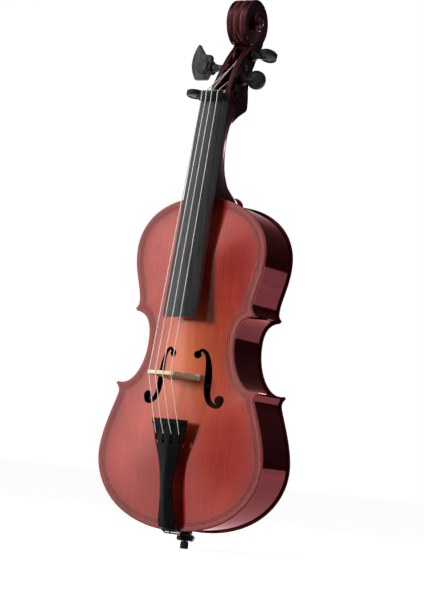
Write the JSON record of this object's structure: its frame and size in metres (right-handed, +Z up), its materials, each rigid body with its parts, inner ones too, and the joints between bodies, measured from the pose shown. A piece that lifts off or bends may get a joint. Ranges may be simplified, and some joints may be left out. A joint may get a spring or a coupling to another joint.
{
  "type": "cello",
  "caption": "Full-size cello with arched plates, ribs, neck, scroll, turning pegs, strings, bridge, tailpiece and a sliding endpin.",
  "frame": {"origin": "middle of the flat end of the endpin tip, with the endpin pushed fully in", "axes": "+Z up along the body to the scroll, -Y is the front with the strings, +X is the treble side (A string)"},
  "size_m": [0.432, 0.2801, 1.2755],
  "materials": {
    "varnish_red": "glossy translucent red-orange varnish over straight spruce grain",
    "varnish_dark": "very dark maroon gloss varnish over maple",
    "bare_spruce": "bare planed spruce",
    "ebony": "satin ebony",
    "tailpiece_black": "satin black",
    "tail_cord_black": "matt",
    "bridge_maple": "bare maple, matt",
    "string_white": "fine wound string, pale",
    "peg_black": "satin black, slightly worn grey on the edges",
    "steel": "plain steel",
    "rubber": "matt rubber"
  },
  "bodies": {
    "instrument": {"top_plate": "varnish_red", "back_plate": "varnish_dark", "neck": "varnish_dark", "lower_rib_treble": "varnish_dark", "lower_rib_bass": "varnish_dark", "waist_rib_treble": "varnish_dark", "waist_rib_bass": "varnish_dark", "upper_rib_treble": "varnish_dark", "upper_rib_bass": "varnish_dark", "lower_lining_front_treble": "bare_spruce", "lower_lining_front_bass": "bare_spruce", "lower_lining_back_treble": "bare_spruce", "lower_lining_back_bass": "bare_spruce", "waist_lining_front_treble": "bare_spruce", "waist_lining_front_bass": "bare_spruce", "waist_lining_back_treble": "bare_spruce", "waist_lining_back_bass": "bare_spruce", "upper_lining_front_treble": "bare_spruce", "upper_lining_front_bass": "bare_spruce", "upper_lining_back_treble": "bare_spruce", "upper_lining_back_bass": "bare_spruce", "end_block": "bare_spruce", "top_block": "bare_spruce", "lower_corner_block_treble": "bare_spruce", "lower_corner_block_bass": "bare_spruce", "upper_corner_block_treble": "bare_spruce", "upper_corner_block_bass": "bare_spruce", "bass_bar": "bare_spruce", "sound_post": "bare_spruce", "fingerboard": "ebony", "nut": "ebony", "saddle": "ebony", "endpin_collar": "ebony", "tailpiece": "tailpiece_black", "tail_cord": "tail_cord_black", "bridge": "bridge_maple", "string_c": "string_white", "string_g": "string_white", "string_d": "string_white", "string_a": "string_white"},
    "c_peg": {"peg_c": "peg_black"},
    "g_peg": {"peg_g": "peg_black"},
    "d_peg": {"peg_d": "peg_black"},
    "a_peg": {"peg_a": "peg_black"},
    "endpin": {"endpin_rod": "steel", "endpin_tip": "rubber"},
    "clamp_screw": {"endpin_screw": "steel"}
  },
  "joints": [
    {"name": "c_peg_turn", "type": "hinge", "parent": "instrument", "child": "c_peg", "pos_m": [0, -0.023, 1.041], "axis": [1, 0, 0], "continuous": true},
    {"name": "g_peg_turn", "type": "hinge", "parent": "instrument", "child": "g_peg", "pos_m": [0, 0.01, 1.11], "axis": [1, 0, 0], "continuous": true},
    {"name": "d_peg_turn", "type": "hinge", "parent": "instrument", "child": "d_peg", "pos_m": [0, 0.032, 1.142], "axis": [1, 0, 0], "continuous": true},
    {"name": "a_peg_turn", "type": "hinge", "parent": "instrument", "child": "a_peg", "pos_m": [0, -0.007, 1.076], "axis": [1, 0, 0], "continuous": true},
    {"name": "endpin_slide", "type": "slide", "parent": "instrument", "child": "endpin", "axis": [0, 0, -1], "range_m": [0, 0.33]},
    {"name": "clamp_screw_turn", "type": "hinge", "parent": "instrument", "child": "clamp_screw", "pos_m": [0, 0.019, 0.0234], "axis": [0, 1, 0], "range_deg": [0, 540]}
  ]
}
